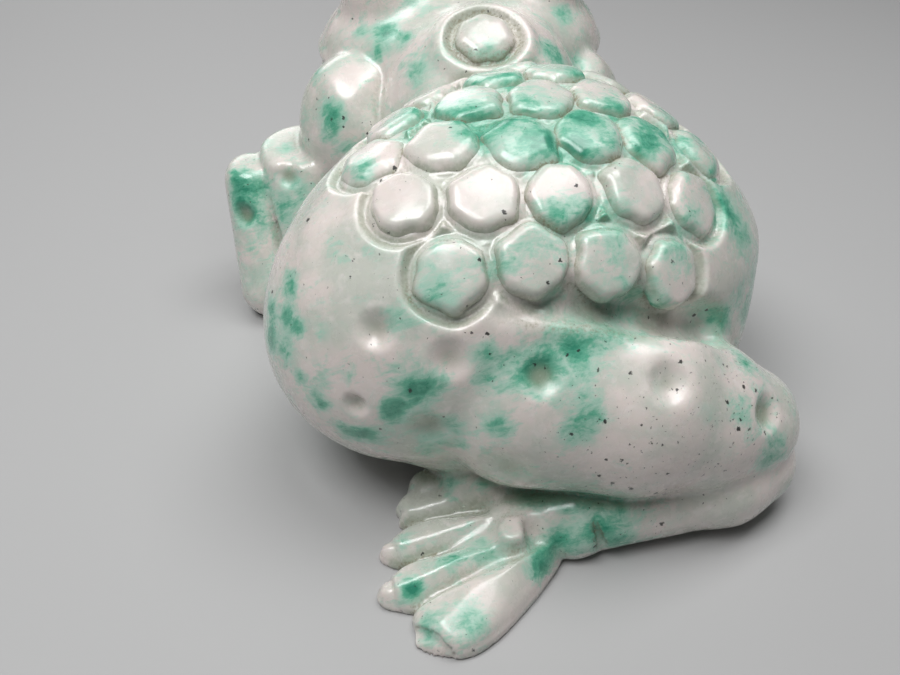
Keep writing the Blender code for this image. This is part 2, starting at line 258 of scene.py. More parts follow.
def boss_fields(p):
    """(distance to the nearest boss outline across the surface, signed distance to the bosses)."""
    plan = np.full(p.shape[:-1], 30.0, F)
    solid = np.full(p.shape[:-1], 30.0, F)
    for b in BOSSES:
        near = np.abs(p - b["c"]).max(-1) < 12
        if not near.any():
            continue
        outline, facets, h = boss_parts(b, p[near])
        u, v, _ = ((p[near] - b["c"]) @ b["frame"]).T
        round_plan = np.sqrt(u * u + v * v) - BOSS_SHRINK * sum(b["radii"]) / len(b["radii"]) - 0.35
        outline = 0.25 * outline + 0.75 * round_plan
        plan[near] = np.minimum(plan[near], np.where(np.abs(h) > 7, 30, outline))
        solid[near] = np.minimum(solid[near], np.maximum(facets, -(h + BOSS_ROOT)))
    return plan, solid


def boss_bed(p, d):
    """The torso with the bed of its bosses sunk, where d is the plain torso's distance."""
    near = np.abs(d) < 5
    if not near.any():
        return d
    plan = boss_fields(p[near])[0]
    bed = GROOVE * (1 - smooth_step(plan, 0.9, 2.9)) - 0.10 * np.exp(-(((plan - 3.5) / 1.2) ** 2))
    bed = bed - 0.55 * np.exp(-((np.maximum(plan - 0.1, 0) / 0.7) ** 2))
    d = d.copy()
    d[near] += np.where(plan > 12, 0, bed)
    return d


# hollows ground into the rump and thigh: where, how wide, how deep
DIMPLES = (
    ((34.7, 45.3, 49.9), 3.2, 0.75),
    ((22.6, 51.4, 46.2), 3.4, 0.65),
    ((39.5, 48.1, 35.4), 2.2, 0.8),
    ((26.7, 53.3, 31.4), 3.6, 0.9),
    ((7.1, 55.5, 43.0), 3.4, 0.8),
    ((-15.3, 57.0, 38.4), 3.7, 1.2),
    ((-36.5, 58.5, 28.8), 3.4, 1.2),
    ((12.4, 58.0, 25.5), 4.8, 0.6),
    ((59.4, -33.9, 27.8), 2.8, 0.9),
    ((46.8, -35.2, 37.3), 3.0, 0.8),
)


def dimpled(p, d):
    """Soft round hollows ground into the surface."""
    for (centre, radius, depth), outward in zip(DIMPLES, DIMPLE_NORMALS):
        near = np.abs(p - np.array(centre, F)).max(-1) < 2 * radius
        if not near.any():
            continue
        q = p[near] - np.array(centre, F)
        off = q @ outward
        across = ((q * q).sum(-1) - off * off) / (1.35 * radius) ** 2
        d[near] += 1.6 * depth * np.maximum(1 - across, 0) ** 1.7
    return d


# the thigh, the shin, and the valley above the thigh: places along each with its radius
THIGH = (((4, 41, 28.7), 21.5), ((-14, 47.3, 26.5), 19), ((-27, 49.6, 22), 15.3), ((-37.4, 50.6, 18.6), 12.3))
SHIN = (((-41, 54, 9.5), 9.2), ((-33, 57, 8.6), 8.9), ((-3, 60, 5.5), 6))
HEEL = ((-1, 62.0, 4), (5.8, 3.9, 4.8))
THIGH_VALLEY = (
    ((13.4, 49.8, 54.4), 0.8),
    ((-2.7, 48.4, 52.6), 3.0),
    ((-12.4, 47.8, 49.2), 3.5),
    ((-21.4, 47.0, 45.4), 3.7),
    ((-30.0, 44.5, 40.0), 3.8),
)


def limb_chain(p, places, blend):
    """Limbs joined end to end."""
    chain = None
    for (a, ra), (b, rb) in zip(places, places[1:]):
        run = limb(p, a, b, ra, rb)
        chain = run if chain is None else smin(chain, run, blend)
    return chain


def hind_leg(p):
    """The thigh and the shin with its heel."""
    shin = smin(limb_chain(p, SHIN, 4), ellipsoid(p, *HEEL), 1)
    return limb_chain(p, THIGH, 3), shin


# toes in plan: outline, crest with heights, slope of the side that faces the body, slope of the other
TOES = (
    (
        (
            (2, 40), (14, 41.6), (24, 41.4), (29.4, 43), (32.2, 44.6), (33.4, 46.4), (32.6, 48),
            (33.2, 50.6), (28, 53), (16, 55), (4, 54),
        ),
        ((8, 50, 9.6), (31.4, 49.4, 4.8)),
        0.16,
        0.9,
    ),
    (
        (
            (4, 52), (14, 52), (26, 51.4), (32.2, 52), (35.4, 54.4), (37.4, 55), (38.4, 57.2),
            (36.9, 59.1), (34.3, 60.6), (28, 61.6), (16, 62.5), (6, 62),
        ),
        ((14, 57.6, 9.6), (37, 57.4, 4.4)),
        0.3,
        0.95,
    ),
    (
        (
            (6, 60), (14, 59.8), (22, 60.2), (29, 60.2), (34.2, 61.2), (36.6, 63.2), (38.8, 64),
            (39.9, 66.6), (38.4, 68.7), (35.8, 69.7), (33, 71), (28, 70.6), (18, 68.5), (8, 66),
        ),
        ((14, 64.2, 9.9), (38.2, 67.4, 4.6)),
        0.26,
        1.05,
    ),
    (
        (
            (1, 62), (3.4, 66.2), (8, 70.6), (13.4, 75.2), (18.2, 78.6), (22.7, 81), (26.3, 81.6),
            (30.2, 80.4), (32.9, 78.8), (35, 76.9), (34, 74.4), (33.8, 71.4), (30, 69.4),
            (22, 66.4), (12, 63),
        ),
        ((11.6, 64.6, 10), (29.2, 76.4, 5.7)),
        0.42,
        0.3,
    ),
)
NAILS = (
    None,
    ((35.4, 52.5), (33.6, 61.5), 0.8),
    ((36.4, 62.0), (35.8, 70.6), 1.1),
    ((32.6, 75.0), (26.7, 81.4), 1.9),
)
TOE_ROUNDING = 3.4
KNOB = (12.4, 62.2)
KNOB_HEIGHT = 10.5
ANKLE_NOTCH = ((-7.0, 67.5, -1.0), (-3.0, 63.2, 12.5))


def rounded_off(corners):
    """A closed outline with its corners cut."""
    cut = []
    for (ax, ay), (bx, by) in zip(corners, corners[1:] + corners[:1]):
        cut.append((0.78 * ax + 0.22 * bx, 0.78 * ay + 0.22 * by))
        cut.append((0.22 * ax + 0.78 * bx, 0.22 * ay + 0.78 * by))
    return tuple(cut)


def outline_distance(x, y, corners):
    """Signed distance in plan to a closed outline, negative inside it."""
    nearest = np.full(x.shape, 1e9, F)
    sign = np.ones(x.shape, F)
    for (ax, ay), (bx, by) in zip(corners, corners[1:] + corners[:1]):
        ex, ey = bx - ax, by - ay
        share = np.clip(((x - ax) * ex + (y - ay) * ey) / (ex * ex + ey * ey), 0, 1)
        nearest = np.minimum(nearest, (x - ax - share * ex) ** 2 + (y - ay - share * ey) ** 2)
        facing = 1 if by > ay else -1
        crossed = (x - ax) * (by - ay) * facing < (y - ay) * ex * facing
        sign = np.where(((ay <= y) != (by <= y)) & crossed, -sign, sign)
    return sign * np.sqrt(nearest)


def toe(x, y, z, shape, nail):
    """One toe: two planes that meet at a crest, rounded off to the ground and stepped at the nail."""
    corners, crest, inward, outward = shape
    plan = outline_distance(x, y, rounded_off(corners))
    (ax, ay, high), (bx, by, low) = crest
    long = math.hypot(bx - ax, by - ay)
    ux, uy = (bx - ax) / long, (by - ay) / long
    s = (x - ax) * ux + (y - ay) * uy
    t = (y - ay) * ux - (x - ax) * uy
    roof = high + (low - high) * np.clip(s / long, -0.1, 1.3)
    roof = roof - np.where(t > 0, outward, inward) * (np.sqrt(t * t + 0.25) - 0.4)
    roof = roof - 0.35 * np.maximum(s - long, 0)
    flank = 0.7 + TOE_ROUNDING * np.sqrt(np.maximum(-plan, 0.3))
    top = -smax(-roof, -flank, 1.0)
    if nail:
        (ax, ay), (bx, by), step = nail
        long = math.hypot(bx - ax, by - ay)
        past = ((x - ax) * (by - ay) - (y - ay) * (bx - ax)) / long
        top = top - step * smooth_step(past, -0.1, 0.45) + 0.12 * np.clip(past, 0, 4)
    return smax((z - top) * 0.72, plan, 0.9)


def hind_foot(p):
    """The four toes with the web, the instep and the ankle knob between them."""
    near = (p[..., 1] > 36) & (p[..., 2] < 20) & (p[..., 0] > -18)
    d = np.full(p.shape[:-1], 12.0, F)
    if not near.any():
        return d
    p = p[near]
    x, y, z = p.T
    foot = np.full(x.shape, 12.0, F)
    fold = 0.5 + 2.6 * (1 - smooth_step(x, 13, 27))
    for shape, nail in zip(TOES, NAILS):
        foot = smin(foot, toe(x, y, z, shape, nail), fold)
    web = limb(p, (8, 59, 3.2), (23, 64, 1.6), 6.6, 3.8)
    foot = smin(foot, web, 2.0)
    foot = smin(foot, limb(p, (-2, 57, 6), (10, 56, 5.0), 7, 5.2), 2.5)
    foot = smin(foot, limb(p, (8, 44, 6), (26, 43, 3.4), 6, 3.6), 2)
    off = np.sqrt((x - KNOB[0]) ** 2 + (y - KNOB[1]) ** 2)
    knob = smax(off - 2.7, (z - KNOB_HEIGHT + 0.05 * (x - KNOB[0])) * 0.9, 1.2)
    foot = smin(foot, knob, 2.6)
    hollow = np.sqrt((x - 8.4) ** 2 + (y - 62.6) ** 2)
    foot = foot + 0.9 * (1 - smooth_step(hollow, 0.5, 3.2)) * smooth_step(z, 4, 8)
    d[near] = foot
    return d


NAPE = ((-2.5, -36, 46), (27, 24, 27))
NAPE_TURN = turned("x", 10)
NAPE_CREST = ((-2, -38, 60.5), (18, 13.5, 13))
EMBLEM = (-1.0, -28.0)


def nape_field(p):
    return smin(ellipsoid(p, *NAPE, NAPE_TURN), ellipsoid(p, *NAPE_CREST), 7)


def emblem_frame():
    """The bead's middle on the nape, and its axes there."""
    x, y = EMBLEM
    z = 95.0
    for _ in range(60):
        z -= 0.7 * float(nape_field(np.array([[x, y, z]], F))[0])
    n = slope(nape_field, (x, y, z))
    t1 = np.cross((0, -1, 0), n)
    t1 /= np.linalg.norm(t1)
    return np.array([x, y, z], F), np.stack([t1, np.cross(n, t1), n], 1).astype(F)


EMBLEM_AT, EMBLEM_AXES = emblem_frame()


def emblem_plane(p, facet=0.006):
    """(distance from the emblem's middle along the surface, height above it)."""
    u, v, h = ((p - EMBLEM_AT) @ EMBLEM_AXES).T
    around = np.arctan2(v, u)
    return np.sqrt((u / 1.05) ** 2 + (v / 0.95) ** 2) * (1 + facet * np.sin(7 * around + 0.6)), h


def carved_nape(p):
    """The nape with the raised collar and the sunk bed of its bead."""
    d = nape_field(p)
    near = (np.abs(p - EMBLEM_AT).max(-1) < 18) & (np.abs(d) < 5)
    if not near.any():
        return d
    r = emblem_plane(p[near])[0]
    collar = 1.15 * np.exp(-(((r - 10.3) / 1.8) ** 2))
    bed = 1.4 * (1 - smooth_step(r, 6.9, 9.4)) - 0.5 * (1 - smooth_step(r, 6.6, 7.4))
    d = d.copy()
    d[near] += bed - collar
    return d


def bead(p):
    """The low flat-topped bead on the nape."""
    r, h = emblem_plane(p, 0.035)
    crown = np.sqrt((r / 6.7) ** 2 + ((h + 1.6) / 3.0) ** 2 + 1e-6)
    d = (crown - 1) * 2.7
    d = smax(d, h - 0.95, 0.5)
    return smax(d, -(h + 3.4), 0.4) + 0.10 * wobble(p * F(1.7))


MOUTH_HEIGHT = 51.5
HEAD = ((-2, -60, 58), (37, 28, 20))
BROW_RADII = (12, 13, 10)
LID_RADII = (8.2, 8.2, 7.8)
EYE_RADII = (8.4, 8.4, 8.0)


def eye_centre(s):
    """The eye's middle on the toad's left (s = 1) or right (s = -1)."""
    return np.array([s * 20.5 - 2, -67.5, 74.0], F)


def eye_turn(p, s):
    """Angle between p, seen from the eye's centre, and the way the eye looks."""
    q = p - eye_centre(s)
    axis = np.array([s * 0.52, -0.80, 0.30], F)
    return np.arccos(np.clip((q @ axis) / np.maximum(np.sqrt((q * q).sum(-1)), 1e-3), -1, 1))


def eyeball(p, s):
    """A round eye with a ring cut in it."""
    ball = ellipsoid(p, eye_centre(s), EYE_RADII)
    return ball + 0.5 * np.exp(-(((eye_turn(p, s) - 0.55) / 0.07) ** 2))


def head_field(p, detail):
    """The head with its brows and eyelids, and with detail also its mouth and nostrils."""
    x, y, z = p[..., 0] + 2.0, p[..., 1], p[..., 2]
    head = ellipsoid(p, *HEAD)
    for s in (1, -1):
        head = smin(head, ellipsoid(p, (s * 19 - 2.2, -60, 74), BROW_RADII), 4)
        lid = ellipsoid(p, eye_centre(s), LID_RADII)
        if detail:
            turn = eye_turn(p, s)
            lid = lid - 1.5 * np.exp(-(((turn - 1.12) / 0.17) ** 2))
            lid = lid + 1.0 * (1 - smooth_step(turn, 0.8, 0.95))
        head = smin(head, lid, 0.9)
    if not detail:
        return head
    # the long closed mouth with a lip above and below it, and the nostrils
    off = z - (MOUTH_HEIGHT + 0.0035 * x * x - 0.09 * (y + 60))
    ahead = smooth_step(-y, 44, 58)
    lips = 1.9 * np.exp(-((off / 0.9) ** 2)) - 0.8 * np.exp(-(((np.abs(off) - 3.0) / 1.8) ** 2))
    head = head + ahead * lips
    for s in (1, -1):
        nostril = ((p - np.array([s * 5.5 - 2, -86.5, 62.5], F)) ** 2).sum(-1) / (1.9 * 1.9)
        head = head + 1.8 * np.exp(-nostril)
    return head


# each facet of the shoulder: the way it faces, and how far out it is cut
SHOULDER_PLANES = ((0.10, 0.45, 0.88, 17.2), (0.75, 0.50, 0.43, 15.0), (-0.45, 0.75, 0.48, 14.6))
FINGERS = (
    ((44, -50, 3), (40, -61, 2.2)),
    ((50, -51, 3), (49.5, -64, 2.2)),
    ((56, -49, 3), (58, -60, 2.2)),
)


def foreleg(p, s):
    """The toad's left foreleg (s = 1), or its narrower right one (s = -1)."""

    def at(x, y, z):
        return (x, y, z) if s > 0 else (-0.9 * x - 2, y, z)

    shoulder = at(28, -44, 44.5 + (0 if s > 0 else -2))
    d = ellipsoid(p, shoulder, (15, 15, 19))
    q = p - np.array(shoulder, F)
    for nx, ny, nz, cut in SHOULDER_PLANES:
        d = smax(d, s * nx * q[..., 0] + ny * q[..., 1] + nz * q[..., 2] - cut, 1.0)
    upper = limb(p, at(43, -44.5, 34), at(45, -34, 14), 12.3, 10.5)
    ledge = p[..., 2] - 41.2 + 0.10 * (p[..., 1] + 44)
    out = p[..., 0] if s > 0 else (-p[..., 0] - 2) / 0.9
    cleft = out - 50.4 - 0.19 * (p[..., 2] - 20)
    d = smin(d, smax(smax(upper, ledge, 1.4), cleft, 1.0), 2)
    outer = limb(p, at(56.6, -43, 32.5), at(55.5, -31, 7), 7.2, 8)
    outer = smax(outer, p[..., 2] - 38.8 + 0.2 * (p[..., 1] + 44), 1.6)
    outer = smax(outer, cleft * -1 - 0.4, 0.8)
    lower = limb(p, at(54, -38, 18), at(53, -31, 7), 6.5, 8)
    d = smin(d, smin(outer, lower, 3), 0.35)
    hand = ellipsoid(p, at(50, -43, 2.5), (11, 13, 6))
    for a, b in FINGERS:
        hand = smin(hand, limb(p, at(*a), at(*b), 4.4, 3.2), 1)
    return smin(d, hand, 2)


def skin_field(p, detail):
    """All the carved forms in one, standing on z = 0; detail adds the fine work."""
    d = torso(p)
    if detail:
        d = boss_bed(p, d)
    thigh, shin = hind_leg(p)
    d = smax(smin(d, thigh, 1.8), -limb_chain(p, THIGH_VALLEY, 1.0), 3.2)
    low = smin(shin, hind_foot(p), 1.0)
    low = smin(low, limb(p, (-10, 50, 8), (16, 45, 6), 10, 7), 2)
    low = smax(low, -limb(p, *ANKLE_NOTCH, 1.7, 0.5), 0.6)
    d = smin(d, low, 1.2)
    nape = carved_nape(p) if detail else nape_field(p)
    d = smin(d, smin(nape, head_field(p, detail), 2.5), 2.5)
    d = smin(d, smin(foreleg(p, 1), foreleg(p, -1), 1), 1.5)
    if detail:
        d = dimpled(p, d.copy()) + 0.16 * wobble(p)
    return np.maximum(d, -p[..., 2])


def plain(p):
    """The stone before its fine work is cut."""
    return skin_field(p, False)


def stone(p):
    """The stone's skin, without the bosses, bead and eyeballs that stand in it."""
    return skin_field(p, True)


def whole(p):
    """The stone's skin with the bosses, eyeballs and bead in place."""
    d = stone(p)
    near = np.abs(d) < 6
    if not near.any():
        return d
    q = p[near]
    d = d.copy()
    d[near] = np.minimum(d[near], boss_fields(q)[1])
    for s in (1, -1):
        d[near] = np.minimum(d[near], eyeball(q, s))
    close = np.abs(p - EMBLEM_AT).max(-1) < 14
    if close.any():
        d[close] = np.minimum(d[close], bead(p[close]))
    return d


DIMPLE_NORMALS = [slope(plain, centre).astype(F) for centre, _, _ in DIMPLES]


def fine_work(points):
    """Which points of the plain stone lie where the carving is fine."""
    x, y, z = points.T
    chosen = boss_fields(points)[0] < 4.2
    chosen |= ((points - EMBLEM_AT) ** 2).sum(1) < 15**2
    for s in (1, -1):
        chosen |= ((points - eye_centre(s)) ** 2).sum(1) < 13**2
    mouth = MOUTH_HEIGHT + 0.0035 * (x + 2) ** 2 - 0.09 * (y + 60)
    chosen |= (y < -44) & (np.abs(z - mouth) < 5.5)
    chosen |= (y < -80) & (np.abs(x + 2) < 10) & (z > 56) & (z < 68)
    chosen |= (y > 44) & (z < 13) & (x > -3)
    for centre, radius, _ in DIMPLES:
        chosen |= ((points - np.array(centre)) ** 2).sum(1) < (1.7 * radius) ** 2
    return chosen


# where the green lies thick, and where the stone is nearly white: place, reach, how much
VEINS = (
    # left foreleg and shoulder
    ((62, -37, 38), 3, 1.0), ((58, -36, 34), 5, 0.9), ((58, -34, 27), 3, 1.5), ((49, -32, 31), 4, 1.0),
    ((44, -32, 34), 3, 0.8), ((35, -33, 54), 4, 1.7), ((37, -32, 50), 3, 1.2), ((43, -39, 50), 3, 0.9),
    ((38, -44, 59), 2, 0.7),
    # head, neck and bead
    ((26, -47, 68), 2, 1.3), ((20, -43, 68), 4, 1.5), ((16, -39, 68), 3, 1.3), ((23, -41, 64), 3, 1.2),
    ((12, -46, 74), 3, 1.0), ((-1, -24, 70), 3, 0.8), ((-6, -24, 66), 3, 1.1), ((-17, -28, 68), 4, 1.3),
    ((-20, -27, 65), 3, 1.1), ((-24, -36, 60), 4, 1.0), ((-25, -45, 70), 4, 1.2), ((15, -28, 65), 4, 0.8),
    # the upper rows of bosses
    ((8, -1, 73), 4, 1.0), ((0, 2, 74), 4, 1.1), ((-14, 0, 74), 4, 1.0), ((20, 5, 70), 4, 1.3),
    ((12, 13, 74), 4, 1.2), ((14, 21, 73), 3, 1.0), ((2, 16, 74), 4, 1.1), ((0, 25, 73), 4, 1.5),
    ((-7, 19, 74), 4, 1.2), ((-6, 27, 71), 4, 1.5), ((-17, 15, 72), 4, 1.5), ((-21, 22, 70), 4, 1.1),
    ((-31, 17, 65), 4, 1.4), ((-36, 8, 63), 4, 1.0), ((33, 19, 67), 3, 0.9), ((-38, 20, 59), 3, 0.9),
    ((0, 12, 76), 15, 0.35), ((-24, 16, 70), 12, 0.35), ((18, 10, 72), 10, 0.30), ((0, -8, 73), 14, 0.35),
    # the lower rows
    ((16, 33, 69), 3, 0.6), ((1, 39, 66), 4, 1.2), ((-5, 39, 65), 3, 1.0), ((-10, 37, 64), 4, 1.0),
    ((-37, 28, 56), 5, 1.7), ((-27, 35, 58), 4, 1.2), ((-41, 31, 51), 4, 1.0), ((20, 42, 62), 7, 0.4),
    ((13, 44, 59), 3, 1.2), ((24, 46, 56), 4, 0.9), ((7, 43, 63), 6, 0.55), ((-8, 43, 60), 5, 0.8),
    ((-22, 41, 57), 5, 0.9), ((3, 48, 54), 4, 0.8), ((-8, 48, 51), 4, 0.8), ((-14, 48, 50), 5, 1.8),
    # hip and thigh
    ((11, 54, 44), 4, 1.2), ((7, 54, 43), 3, 2.0), ((3, 54, 45), 5, 1.0), ((-1, 53, 46), 4, 0.8),
    ((2, 52, 49), 3, 1.0), ((-7, 51, 48), 4, 0.8), ((0, 59, 41), 4, 0.6), ((2, 62, 36), 4, 1.1),
    ((-2, 62, 37), 3, 0.9), ((16, 52, 47), 3, 1.3), ((17, 54, 42), 3, 1.1), ((15, 58, 35), 3, 1.3),
    ((-35, 51, 36), 3, 1.0), ((-30, 61, 33), 3, 0.8), ((-38, 63, 21), 5, 0.9),
    # rump, left side and right side
    ((48, 30, 51), 3, 1.3), ((54, 27, 45), 3, 1.0), ((50, 34, 45), 3, 1.3), ((48, 37, 46), 2, 1.7),
    ((54, 31, 38), 3, 1.8), ((51, 36, 40), 3, 1.4), ((49, 40, 37), 2, 1.3), ((46, 44, 34), 3, 1.1),
    ((42, 47, 27), 3, 1.5), ((38, 49, 28), 3, 1.7), ((33, 51, 35), 3, 1.6), ((31, 52, 39), 4, 1.4),
    ((28, 52, 41), 3, 1.6), ((24, 52, 42), 3, 1.1), ((31, 46, 51), 3, 1.0), ((23, 54, 32), 3, 1.0),
    ((26, 53, 26), 4, 1.0), ((34, 36, 60), 2, 0.8), ((-29, 44, 42), 3, 1.3), ((-34, 42, 39), 4, 1.3),
    ((-43, 36, 34), 4, 1.4), ((-40, 38, 42), 3, 1.0),
    # foot, ankle and the crease above them; the thick dark green laid along that crease is partly the stone's
    # green and partly painted shade
    ((6, 55, 12), 4, 1.8), ((0, 58, 13), 4, 2.0), ((-7, 60, 12), 5, 2.1), ((-4, 65, 9), 3, 1.7),
    ((-9, 66, 6), 4, 1.3), ((2, 66, 9), 4, 1.3), ((7, 68, 9), 4, 1.0), ((1, 70, 7), 3, 1.5),
    ((22, 47, 9), 3, 1.4), ((25, 64, 8), 3, 1.2), ((18, 65, 9), 4, 1.3), ((33, 68, 5), 3, 1.3),
    ((31, 76, 3), 3, 1.6), ((24, 78, 5), 4, 1.2), ((33, 57, 5), 2, 0.9),
    # head, chest and flanks
    ((18, -78, 66), 6, 1.1), ((-14, -84, 60), 5, 1.0), ((-31, -66, 60), 6, 1.2), ((29, -62, 56), 6, 1.0),
    ((4, -74, 76), 6, 0.9), ((-22, -72, 80), 4, 1.2), ((22, -68, 81), 4, 1.1), ((8, -86, 52), 4, 0.8),
    ((6, -57, 30), 7, 1.1), ((-18, -52, 22), 7, 1.0), ((14, -50, 14), 5, 0.8), ((-46, -8, 40), 7, 1.3),
    ((-52, 12, 30), 8, 1.3), ((-49, 6, 50), 5, 1.0), ((-40, -20, 24), 6, 1.0), ((46, -2, 48), 6, 1.1),
    ((54, 8, 34), 7, 1.3), ((50, -8, 24), 6, 1.0), ((-40, -42, 44), 5, 1.3), ((-56, -40, 30), 5, 1.2),
    ((-50, -44, 5), 5, 1.1), ((50, -52, 5), 5, 1.0), ((44, -56, 34), 5, 1.1), ((-42, 38, 20), 6, 1.2),
    # smaller patches on the rump, the foreleg, the upper bosses and the foot
    ((53, 30, 44), 2, 1.2), ((46, 44, 33), 2, 1.1), ((40, 32, 58), 2, 0.9), ((38, 35, 58), 2, 0.8),
    ((44, 41, 47), 2, 0.8), ((40, 47, 41), 2, 0.7), ((45, 44, 39), 2, 0.7), ((50, 33, 47), 2, 1.0),
    ((53, 31, 41), 2, 1.3), ((21, 55, 28), 2, 1.0), ((18, 58, 30), 2, 0.9), ((60, -38, 36), 3, 1.3),
    ((60, -35, 30), 3, 1.3), ((54, -36, 35), 3, 0.9), ((47, -42, 41), 3, 1.0), ((47, -34, 36), 3, 0.9),
    ((7, 19, 74), 4, 1.3), ((5, 27, 72), 4, 1.2), ((11, 20, 72), 4, 1.0), ((18, 8, 71), 3, 1.0),
    ((-10, 20, 74), 4, 1.1), ((-6, 26, 72), 3, 1.1), ((-13, 25, 72), 3, 1.2), ((-25, 18, 69), 4, 1.2),
    ((-19, 25, 68), 3, 1.0), ((33, -30, 46), 3, 0.8), ((33, 19, 67), 3, 0.9), ((22, 12, 70), 3, 0.9),
    ((-37, 13, 63), 3, 0.9), ((7, 67, 5), 3, 1.3), ((9, 69, 6), 3, 1.2), ((4, 64, 6), 3, 1.2),
    ((10, 64, 7), 2, 0.9), ((16, 51, 11), 2, 0.8), ((20, 59, 7), 3, 0.7), ((33, 68, 4), 2, 1.3),
    # a thin veil over the head, the flanks and the forelegs
    ((0, -70, 56), 24, 0.55), ((56, -2, 28), 26, 0.55), ((-56, 0, 28), 26, 0.60),
    ((0, -52, 18), 22, 0.50), ((54, -46, 14), 16, 0.45), ((-54, -46, 18), 18, 0.50),
    ((-30, 20, 8), 20, 0.45), ((30, -4, 6), 20, 0.45), ((22, -72, 70), 5, 1.0),
    ((-26, -60, 72), 5, 1.0), ((30, -56, 50), 6, 0.9), ((-34, -58, 52), 6, 0.9), ((57, 2, 44), 5, 1.1),
    ((52, -12, 12), 6, 1.0), ((42, 22, 12), 6, 1.0), ((-58, 18, 34), 5, 1.1), ((-46, 30, 40), 6, 1.0),
    ((-54, -14, 26), 5, 1.1), ((-34, -12, 62), 5, 0.8), ((34, -16, 10), 6, 0.9), ((0, 60, 40), 7, 0.25),
    ((-34, 60, 31), 6, 0.45), ((-39, 63, 22), 6, 0.50),
    # nearly white
    ((27, 31, 67), 8, -0.7), ((14, 35, 68), 6, -0.7), ((38, 34, 58), 8, -0.4), ((-14, 62, 32), 9, -0.5),
    ((-29, 66, 9), 9, -0.8), ((16, 74, 8), 6, -0.6), ((28, 50, 7), 5, -0.6), ((15, 49, 53), 4, -0.5),
)


def veins(points):
    """How thick the green lies at each point."""
    total = np.zeros(len(points), F)
    for centre, reach, amount in VEINS:
        q = ((points - np.array(centre, F)) ** 2).sum(1) / (reach * reach * 0.85)
        total += amount * np.exp(-q)
    return total


def round_hollow_shade(points):
    """How much painted shade lies in the round hollows."""
    total = np.zeros(len(points), F)
    for centre, radius, depth in DIMPLES:
        q = ((points - np.array(centre, F)) ** 2).sum(1) / (0.75 * radius) ** 2
        total += min(depth, 1.0) * np.exp(-q)
    return total


# where the black specks lie thick: place, reach, how much
SPECKLED = (((-14, 60, 32), 17, 1.1), ((-30, 58, 32), 12, 0.8), ((38, 36, 55), 16, 0.25))


def specks(points):
    """How thick the black specks lie: thickest along the thigh."""
    total = np.full(len(points), 0.16, F)
    for centre, reach, amount in SPECKLED:
        total += amount * np.exp(-((points - np.array(centre, F)) ** 2).sum(1) / (reach * reach))
    return total


# ---------------------------------------------------------------- meshing


def lattice_values(field, low, counts, step):
    """Field values on a lattice: exact near the surface, only the right sign far from it."""
    axes = [low[k] + step * np.arange(counts[k]) for k in range(3)]
    near = [(np.arange(counts[k]) + 2) // 4 for k in range(3)]
    rough_axes = [low[k] + step * 4 * np.arange(near[k].max() + 1) for k in range(3)]
    grid = np.stack(np.meshgrid(*rough_axes, indexing="ij"), -1).astype(F)
    rough = in_chunks(field, grid.reshape(-1, 3)).reshape(grid.shape[:3])
    values = rough[np.ix_(*near)].astype(F)
    keep = np.abs(values) < step * 7
    where = np.argwhere(keep)
    points = np.stack([axes[k][where[:, k]] for k in range(3)], -1).astype(F)
    values[keep] = in_chunks(field, points)
    return values


def in_chunks(field, points, size=120_000):
    return np.concatenate([field(points[i : i + size]) for i in range(0, len(points), size)])


CORNERS = [(i, j, k) for i in (0, 1) for j in (0, 1) for k in (0, 1)]


def surface_nets(values, low, step):
    """Vertices and outward quads of the zero surface, one vertex in each cell that it crosses."""
    inside = values < 0
    nx, ny, nz = values.shape
    total = np.zeros((nx - 1, ny - 1, nz - 1), np.int8)
    for i, j, k in CORNERS:
        total += inside[i : nx - 1 + i, j : ny - 1 + j, k : nz - 1 + k]
    cells = np.argwhere((total > 0) & (total < 8))
    index = np.full(total.shape, -1, np.int64)
    index[tuple(cells.T)] = np.arange(len(cells))
    at = {c: values[tuple((cells + c).T)] for c in CORNERS}
    where = np.zeros((len(cells), 3))
    hits = np.zeros(len(cells))
    for a in CORNERS:
        for axis in range(3):
            if a[axis]:
                continue
            b = tuple(a[k] + (k == axis) for k in range(3))
            va, vb = at[a], at[b]
            cross = (va < 0) != (vb < 0)
            t = np.where(cross, va / np.where(cross, va - vb, 1), 0)
            point = np.array(a, float)[None] + t[:, None] * (np.arange(3) == axis)
            where += np.where(cross[:, None], point, 0)
            hits += cross
    points = low + step * (cells + where / hits[:, None])
    quads = []
    for axis in range(3):
        one, two = (axis + 1) % 3, (axis + 2) % 3
        head = [slice(None)] * 3
        tail = [slice(None)] * 3
        head[axis], tail[axis] = slice(0, -1), slice(1, None)
        start, end = inside[tuple(head)], inside[tuple(tail)]
        edges = np.argwhere(start != end)
        edges = edges[(edges[:, one] > 0) & (edges[:, two] > 0)]
        edges = edges[(edges[:, one] < values.shape[one] - 1) & (edges[:, two] < values.shape[two] - 1)]
        outward = start[tuple(edges.T)]
        ring = []
        for back_one, back_two in ((1, 1), (0, 1), (0, 0), (1, 0)):
            cell = edges.copy()
            cell[:, one] -= back_one
            cell[:, two] -= back_two
            ring.append(index[tuple(cell.T)])
        ring = np.stack(ring, 1)
        quads.append(np.where(outward[:, None], ring, ring[:, ::-1]))
    return points, np.concatenate(quads)


def gradient(field, points, values, e=0.12):
    out = np.empty_like(points)
    for k in range(3):
        step = np.zeros(3, F)
        step[k] = e
        out[:, k] = (in_chunks(field, points + step) - values) / e
    return out


def settled(field, points, rounds=3):
    """Points pulled onto the zero surface."""
    points = points.astype(F)
    for _ in range(rounds):
        values = in_chunks(field, points)
        slopes = gradient(field, points, values)
        size = np.maximum((slopes * slopes).sum(1), 0.25)
        move = -(values / size)[:, None] * slopes
        length = np.sqrt((move * move).sum(1, keepdims=True))
        points = points + move * np.minimum(1, 0.6 / np.maximum(length, 1e-6))
    return points


